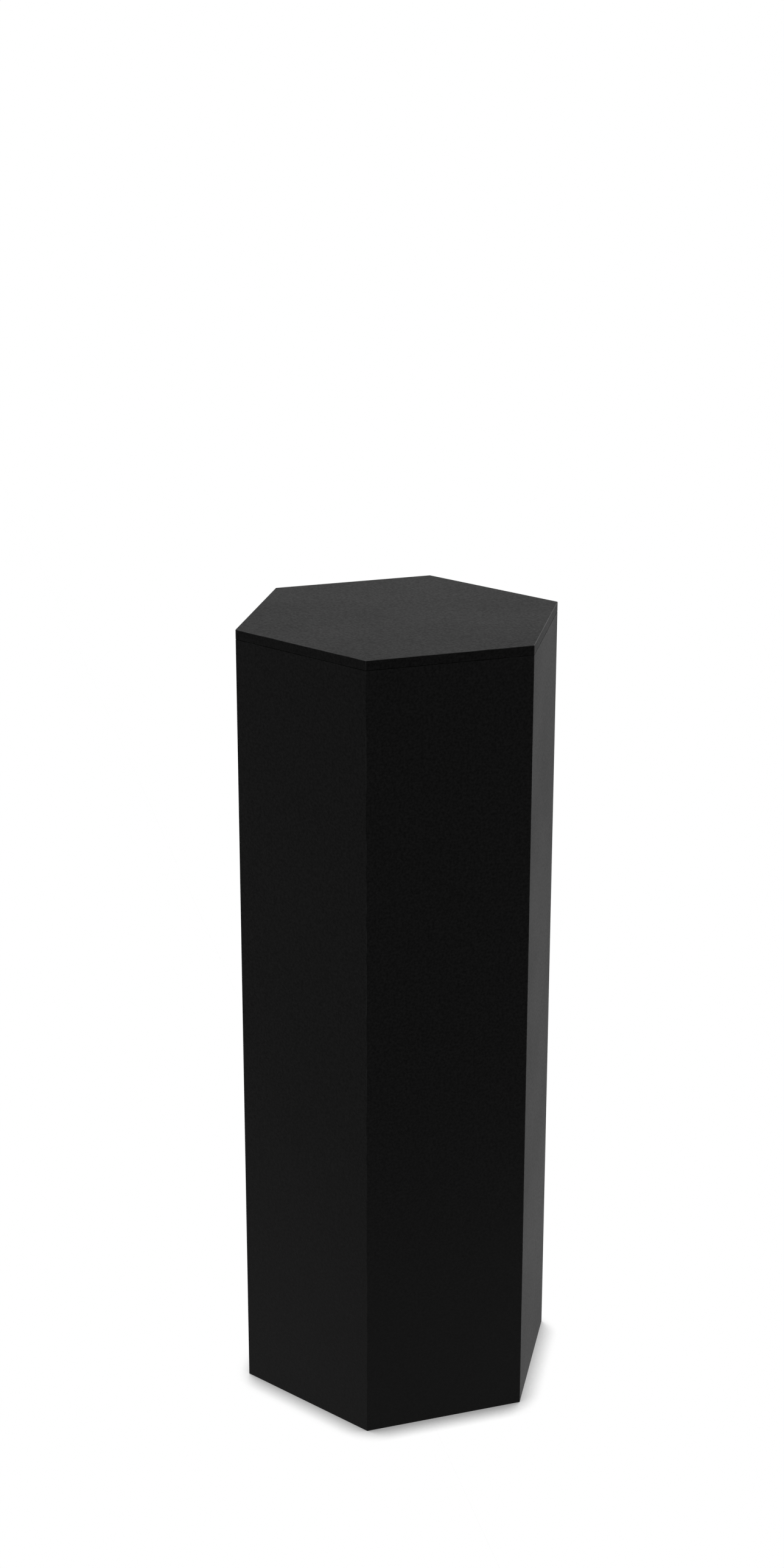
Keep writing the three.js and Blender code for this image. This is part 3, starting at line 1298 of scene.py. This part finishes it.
@dataclass
class BaseBoard:
    """The board that closes the bottom, set up inside the rim."""

    hand_radius: float = 45 * MM  # of the hand hole
    hand_steps: int = 96  # how many facets go round it
    hand_easing: float = 1.5 * MM  # how much its edges are rounded
    hand_easing_steps: int = 4
    edge_easing: float = 0.5 * MM  # how much the board's own edges are eased
    bore_radius: float = 5.8 * MM  # of the holes for the threaded inserts
    bore_steps: int = 40  # how many facets go round them
    screw_radius: float = SCREW_HOLE_RADIUS
    head_radius: float = 4.3 * MM  # of the countersinks
    head_sink: float = 0.3 * MM  # how deep the screw heads lie
    head_height: float = SCREW_CONE_HEIGHT

    def build(self) -> None:
        """Model the board with its holes and put it on the carcass."""
        low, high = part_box("base_board")
        radius = high.y / math.cos(HALF_TURN)
        board = prism("base_board_sawn", SIDES, radius, low.z, high.z)
        with editing(board):
            for level in (low.z, high.z):
                pick(board, Element.EDGE, level_at(level))
                ease(self.edge_easing)
        work(board, self.cutters(low.z, high.z), Cut.AWAY)
        with editing(board):
            for level in (low.z, high.z):
                pick(board, Element.EDGE, round_at(self.hand_radius, level))
                ease(self.hand_easing, self.hand_easing_steps)
            mend()
        FIBREBOARD.dress(board)
        finish_piece(board, CARCASS, "base_board")

    def cutters(self, low: float, high: float) -> bpy.types.Object:
        """Model the cutters of all the holes as one object.

        Args:
            low: the level of the board's underside.
            high: the level of its top.

        Returns:
            The cutters, joined.
        """
        start, end = low - OVERRUN, high + OVERRUN
        sink = low + self.head_sink
        countersink = [
            (0, start),
            (self.head_radius, start),
            (self.head_radius, sink),
            (self.screw_radius, sink + self.head_height),
            (self.screw_radius, end),
            (0, end),
        ]
        hand = prism("hand_cutter", self.hand_steps, self.hand_radius, start, end)
        patterns = {
            "threaded_insert": prism("bore", self.bore_steps, self.bore_radius, start, end),
            "base_screw": turned("screw_hole", countersink, self.bore_steps),
        }
        copies = [
            copied(pattern, f"{node}_cutter", under(f"{node}_{number}"), 0)
            for node, pattern in patterns.items()
            for number in range(1, SIDES + 1)
        ]
        for pattern in patterns.values():
            bpy.data.objects.remove(pattern)
        select_only(hand)
        for copy in copies:
            copy.select_set(True)
        bpy.ops.object.join()
        return hand


@dataclass
class BaseScrews:
    """The countersunk screws that hold the base board up to its battens."""

    head_radius: float = 4 * MM  # over the head
    head_rim: float = 0.25 * MM  # how high the head's edge stands before the cone
    head_height: float = SCREW_CONE_HEIGHT
    recess_width: float = 4.4 * MM  # over the arms of the cross recess
    recess_arm: float = 0.9 * MM  # the thickness of one arm
    recess_depth: float = 2 * MM
    recess_taper: float = 0.45  # the share of its size that an arm keeps at its end
    steps: int = 40  # how many facets go round
    spacing: float = math.radians(37)  # how far each screw is turned on from the one before
    thread: Thread = Thread(
        radius=2 * MM,
        pitch=1.8 * MM,
        depth=0.6 * MM,
        tip_length=5 * MM,
        tip_radius=0.5 * MM,
        tip_steps=40,
        crest_share=0.06,
        root_share=0.44,
    )

    def build(self) -> None:
        """Model one screw and copy it to each of its holes."""
        low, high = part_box("base_screw_1")
        screw = self.thread.rod("screw_pattern", low.z + self.head_height / 2, high.z)
        work(screw, self.head(low.z), Cut.ON)
        work(screw, self.recess(low.z), Cut.AWAY)
        with editing(screw):
            mend()
        ZINC.dress(screw)
        hand_out(screw, "cross_screw", "base_screw", spacing=self.spacing)

    def head(self, low: float) -> bpy.types.Object:
        """Model the countersunk head with the plain neck under it.

        Args:
            low: the level of its face.

        Returns:
            The head.
        """
        neck = self.thread.radius - self.thread.depth
        profile = [
            (0, low),
            (self.head_radius - self.head_rim, low),
            (self.head_radius, low + self.head_rim),
            (neck, low + self.head_height),
            (neck, low + 2 * self.head_height),
            (0, low + 2 * self.head_height),
        ]
        return turned("screw_head", profile, self.steps)

    def recess(self, low: float) -> bpy.types.Object:
        """Model the cutter of the cross recess, whose arms narrow as they go in.

        Args:
            low: the level of the head's face.

        Returns:
            The cutter.
        """
        start, end = Vector((0, 0, low - OVERRUN)), Vector((0, 0, low + self.recess_depth))
        shrink = (self.recess_taper, self.recess_taper, 1)
        arms = []
        for plan in ((self.recess_width, self.recess_arm), (self.recess_arm, self.recess_width)):
            half = Vector((*plan, 0)) / 2
            arm = block("recess_cutter", start - half, end + half)
            with editing(arm):
                pick(arm, Element.FACE, level_at(end.z))
                bpy.ops.transform.resize(value=shrink, center_override=end)
            arms.append(arm)
        work(*arms, Cut.ON)
        return arms[0]


# Levelling feet


@dataclass
class ThreadedInserts:
    """The flanged inserts pressed up into the base board, one for each foot."""

    bore_radius: float = 4.3 * MM  # of the hole that the stem runs in
    flange_radius: float = 9 * MM
    flange_thickness: float = 1.5 * MM
    flange_easing: float = 0.4 * MM  # how much its lower edges are chamfered
    barrel_radius: float = 5.5 * MM  # over the barbs
    barb_depth: float = 0.5 * MM  # how far the barrel narrows between its barbs
    barbs: int = 5
    steps: int = 48  # how many facets go round

    def build(self) -> None:
        """Model one insert and copy it to each foot."""
        low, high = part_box("threaded_insert_1")
        shoulder = low.z + self.flange_thickness
        pitch = (high.z - shoulder) / self.barbs
        chamfer = self.flange_easing
        profile = [
            (self.bore_radius + chamfer, low.z),
            (self.flange_radius - chamfer, low.z),
            (self.flange_radius, low.z + chamfer),
            (self.flange_radius, shoulder),
        ]
        for i in range(self.barbs):
            profile.append((self.barrel_radius, shoulder + i * pitch))
            profile.append((self.barrel_radius - self.barb_depth, shoulder + (i + 1) * pitch))
        profile += [(self.bore_radius, high.z), (self.bore_radius, low.z + chamfer)]
        pattern = turned("insert_pattern", profile, self.steps, closed=True)
        ZINC.dress(pattern)
        hand_out(pattern, "barbed_insert", "threaded_insert")


@dataclass
class LevellingFeet:
    """The six feet: a threaded stem with a ball end, snapped into a pad with a rubber sole."""

    ball_radius: float = 4 * MM  # of the stem's ball
    play: float = 0.3 * MM  # round the ball, over the sole and over the collar
    neck_radius: float = 2.8 * MM  # of the stem between ball and collar
    across_flats: float = 13 * MM  # of the hexagon collar
    collar_height: float = 6 * MM
    collar_chamfer: float = 0.8 * MM  # how far its points are turned off
    chamfer_angle: float = math.radians(30)
    root_overlap: float = 1 * MM  # how far the thread's rod starts down inside the collar
    pad_radius: float = 19 * MM  # over the pad
    pad_rim: float = 3 * MM  # the height of its rim
    pad_wall: float = 3.4 * MM  # round the sole
    pad_easing: float = 0.6 * MM  # how much the rim is eased
    boss_radius: float = 8.5 * MM  # of the boss round the socket
    boss_easing: float = 0.8 * MM  # how much its mouth is eased
    socket_floor: float = 1.6 * MM  # the wall under the socket
    mouth_rise: float = 2.6 * MM  # how far the socket closes over the ball's middle
    sole_thickness: float = 1.8 * MM
    sole_proud: float = 0.8 * MM  # how far the sole stands out of the pad
    sole_easing: float = 0.3 * MM  # how much its lower edge is eased
    tread_pitch: float = 3.6 * MM  # from groove to groove in the sole
    tread_width: float = 1 * MM  # of one groove
    tread_depth: float = 0.5 * MM
    grooves: int = 3
    slit: float = 0.8 * MM  # the width of the slits that let the socket snap over the ball
    steps: int = 64  # how many facets go round
    ball_steps: int = 14  # how many stretches the ball's arc has
    sweep_steps: int = 10  # how many the pad's sweep has
    thread: Thread = Thread(
        radius=4 * MM,
        pitch=1.25 * MM,
        depth=0.767 * MM,
        tip_length=1 * MM,
        tip_radius=3 * MM,
        tip_steps=64,
    )

    def build(self) -> None:
        """Model one foot, and copy its stem, pad and sole to each place."""
        parts = (
            (self.stem(), "stem_m8", "foot_stem", ZINC, Slot.ZINC, "foot_{}_stem"),
            (self.pad(), "pad_moulded", "foot_pad", NYLON, Slot.NYLON, "foot_{}_pad"),
            (self.sole(), "sole_ridged", "pad_sole", RUBBER, Slot.RUBBER, "foot_{}_pad"),
        )
        for pattern, name, node, finish, slot, body in parts:
            finish.dress(pattern)
            hand_out(pattern, name, node, body)

    @property
    def ball_level(self) -> float:
        """The height of the ball's middle."""
        return self.sole_thickness + self.play + self.socket_floor + self.ball_radius + self.play

    def stem(self) -> bpy.types.Object:
        """Model the stem: ball, neck, hexagon collar and thread.

        Returns:
            The stem.
        """
        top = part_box("foot_stem_1")[1].z
        collar_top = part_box("threaded_insert_1")[0].z - self.play
        collar_low = collar_top - self.collar_height
        middle = (collar_low + collar_top) / 2
        neck_angle = math.acos(self.neck_radius / self.ball_radius)
        ball = arc(self.ball_level, self.ball_radius, -math.pi / 2, neck_angle, self.ball_steps)
        stem = turned("stem_pattern", [*ball, (self.neck_radius, middle), (0, middle)], self.steps)
        work(stem, self.thread.rod("stem_thread", middle - self.root_overlap, top), Cut.ON)
        work(stem, self.collar(collar_low, collar_top), Cut.ON)
        with editing(stem):
            mend()
        return stem

    def collar(self, low: float, high: float) -> bpy.types.Object:
        """Model the hexagon collar, its points turned off as on a nut.

        Args:
            low: the level of its underside.
            high: the level of its top.

        Returns:
            The collar.
        """
        tip = self.across_flats / 2 / math.cos(HALF_TURN)
        flat = tip - self.collar_chamfer
        rise = self.collar_chamfer * math.tan(self.chamfer_angle)
        hexagon = prism("stem_collar", SIDES, tip, low, high)
        corners = [(flat, low), (tip, low + rise), (tip, high - rise), (flat, high)]
        profile = [(0, low), *corners, (0, high)]
        work(hexagon, turned("collar_outline", profile, self.steps), Cut.TO)
        return hexagon

    def pad(self) -> bpy.types.Object:
        """Model the moulded pad: rim, sweep up to the boss, and the ball's socket.

        Returns:
            The pad.
        """
        low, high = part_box("foot_pad_1")
        sole_radius = self.pad_radius - self.pad_wall
        rim_top = self.sole_proud + self.pad_rim
        ceiling = self.sole_thickness + self.play
        socket = self.ball_radius + self.play
        mouth = math.asin(self.mouth_rise / socket)
        sweep = curved(
            Vector((self.pad_radius - self.pad_easing, rim_top)),
            Vector((self.boss_radius, rim_top)),
            Vector((self.boss_radius, high.z - self.boss_easing)),
            self.sweep_steps,
        )
        profile = [
            (0, ceiling),
            (sole_radius, ceiling),
            (sole_radius, low.z),
            (self.pad_radius - self.pad_easing, low.z),
            (self.pad_radius, low.z + self.pad_easing),
            (self.pad_radius, rim_top - self.pad_easing),
            *sweep,
            (self.boss_radius - self.boss_easing, high.z),
            *arc(self.ball_level, socket, mouth, -math.pi / 2, self.ball_steps),
        ]
        pad = turned("pad_pattern", profile, self.steps)
        start, end = Vector((0, 0, self.ball_level)), Vector((0, 0, high.z + OVERRUN))
        reach, half = self.boss_radius + OVERRUN, self.slit / 2
        for span in (Vector((reach, half, 0)), Vector((half, reach, 0))):
            work(pad, block("slit_cutter", start - span, end + span), Cut.AWAY)
        with editing(pad):
            mend()
        return pad

    def sole(self) -> bpy.types.Object:
        """Model the rubber sole, with rings of tread in its underside.

        Returns:
            The sole.
        """
        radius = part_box("pad_sole_1")[1].x - under("pad_sole_1").x
        profile = [(0, 0)]
        for i in range(self.grooves):
            start = (i + 1) * self.tread_pitch - self.tread_width / 2
            end = start + self.tread_width
            profile += [(start, 0), (start, self.tread_depth), (end, self.tread_depth), (end, 0)]
        profile += [
            (radius - self.sole_easing, 0),
            (radius, self.sole_easing),
            (radius, self.sole_thickness),
            (0, self.sole_thickness),
        ]
        return turned("sole_pattern", profile, self.steps)


# Studio


@dataclass
class Studio:
    """The plain pale floor with the plinth's shadow painted on it, and the soft light from all
    round.
    """

    floor_radius: float = 90.0  # in metres, so that it reaches past every view
    floor_steps: int = 64  # how many sides it has
    floor_colour: str = "#e8e8e8"  # for the light that it sends back up
    shadow_reach: float = 40 * MM  # how far the plinth's painted soft shadow spreads on the floor
    shadow_tone: float = 0.3  # how bright it is at its darkest, as a share of white
    shadow_range: tuple[float, float] = (0.34, 0.8)  # of open sky, from its darkest to none
    shadow_samples: int = 16
    painted_shadow_lean: tuple[float, float, float] = (0.08, 0.5, 1.0)  # which way the normal of the painted shadow's occlusion leans; the shadow falls on the sides that face away
    sky_colour: str = "#ffffff"
    sky_strength: float = 1.0

    def build(self) -> None:
        """Lay the floor and light the world."""
        self.floor()
        self.world()

    def floor(self) -> None:
        """Lay the floor."""
        bpy.ops.object.select_all(action="DESELECT")
        bpy.ops.mesh.primitive_circle_add(
            vertices=self.floor_steps, radius=self.floor_radius, fill_type="NGON"
        )
        floor = placed("studio_floor")
        floor.data.materials.append(self.floor_material())

    def floor_material(self) -> bpy.types.Material:
        """Make the floor's matt paper, which shows white, with the plinth's shadow painted on it.

        Returns:
            The material.
        """
        material = bpy.data.materials.new("pale_studio_floor")
        material.use_nodes = True
        tree = material.node_tree
        tree.nodes.clear()
        paper = add_node(tree, "BsdfDiffuse", [linear(self.floor_colour)])
        # The shadow is painted: the white's strength falls with the occlusion about this leaning
        # normal
        upwards = add_node(tree, "CombineXYZ", self.painted_shadow_lean)
        sky = {"Distance": self.shadow_reach, "Normal": upwards}
        open_sky = add_node(tree, "AmbientOcclusion", sky, "AO", samples=self.shadow_samples)
        tone = add_node(tree, "MapRange", [open_sky, *self.shadow_range, self.shadow_tone])
        rays = add_node(tree, "LightPath").node.outputs
        mirrors = [rays["Is Glossy Ray"], rays["Is Transmission Ray"]]
        mirrored = add_node(tree, "Math", mirrors, operation="MAXIMUM")
        # A mirrored floor has no painted shadow, which would darken the lower edges of the faces
        shown = add_node(tree, "Math", [tone, mirrored], operation="MAXIMUM")
        white = add_node(tree, "Emission", {"Strength": shown})
        seen = add_node(tree, "Math", [rays["Is Camera Ray"], mirrored], operation="MAXIMUM")
        above = add_node(tree, "MixShader", [seen, paper, white])
        # From beneath, the floor is clear, so that the base is seen and lit
        behind = add_node(tree, "NewGeometry", output="Backfacing")
        passed = [behind, rays["Transparent Depth"]]
        through = add_node(tree, "Math", passed, operation="ADD", use_clamp=True)
        clear = add_node(tree, "BsdfTransparent")
        add_node(tree, "OutputMaterial", [add_node(tree, "MixShader", [through, above, clear])])
        return material

    def world(self) -> None:
        """Light the world: an even white, so that a colour renders as it is written."""
        world = bpy.data.worlds.new("soft_studio")
        world.use_nodes = True
        tree = world.node_tree
        tree.nodes.clear()
        even = add_node(tree, "Background", [linear(self.sky_colour), self.sky_strength])
        add_node(tree, "OutputWorld", [even])
        bpy.context.scene.world = world


@dataclass
class Camera:
    """The camera, where the photograph's perspective puts it."""

    place: tuple[float, float, float] = (-0.9835, -2.8186, 1.7842)  # in metres
    azimuth: float = math.radians(-19.060)  # which way it looks, from +Y towards -X
    elevation: float = math.radians(18.485)  # how far it looks down
    roll: float = math.radians(0.082)
    lens: float = 58.852  # in mm

    def build(self) -> None:
        """Set the camera up and make it the scene's."""
        data = bpy.data.cameras.new("camera")
        data.lens = self.lens
        camera = bpy.data.objects.new("camera", data)
        bpy.context.scene.collection.objects.link(camera)
        turn = Matrix.Rotation(self.azimuth, 4, "Z")
        tilt = Matrix.Rotation(math.pi / 2 - self.elevation, 4, "X")
        lean = Matrix.Rotation(self.roll, 4, "Z")
        camera.matrix_world = Matrix.Translation(self.place) @ turn @ tilt @ lean
        bpy.context.scene.camera = camera


def main() -> None:
    """Build the plinth, piece by piece, then the studio."""
    logging.basicConfig(level=logging.INFO, format="%(message)s")
    plan = Plan.from_frame()
    parts = [
        Camera(),
        TopBoard(plan),
        SidePanels(plan),
        Stiffening(),
        BaseBoard(),
        BaseScrews(),
        ThreadedInserts(),
        LevellingFeet(),
        Studio(),
    ]
    for part in parts:
        part.build()
        log.info("%s is done", type(part).__name__)
    bpy.context.scene.view_settings.view_transform = "Standard"


if __name__ == "__main__":
    main()
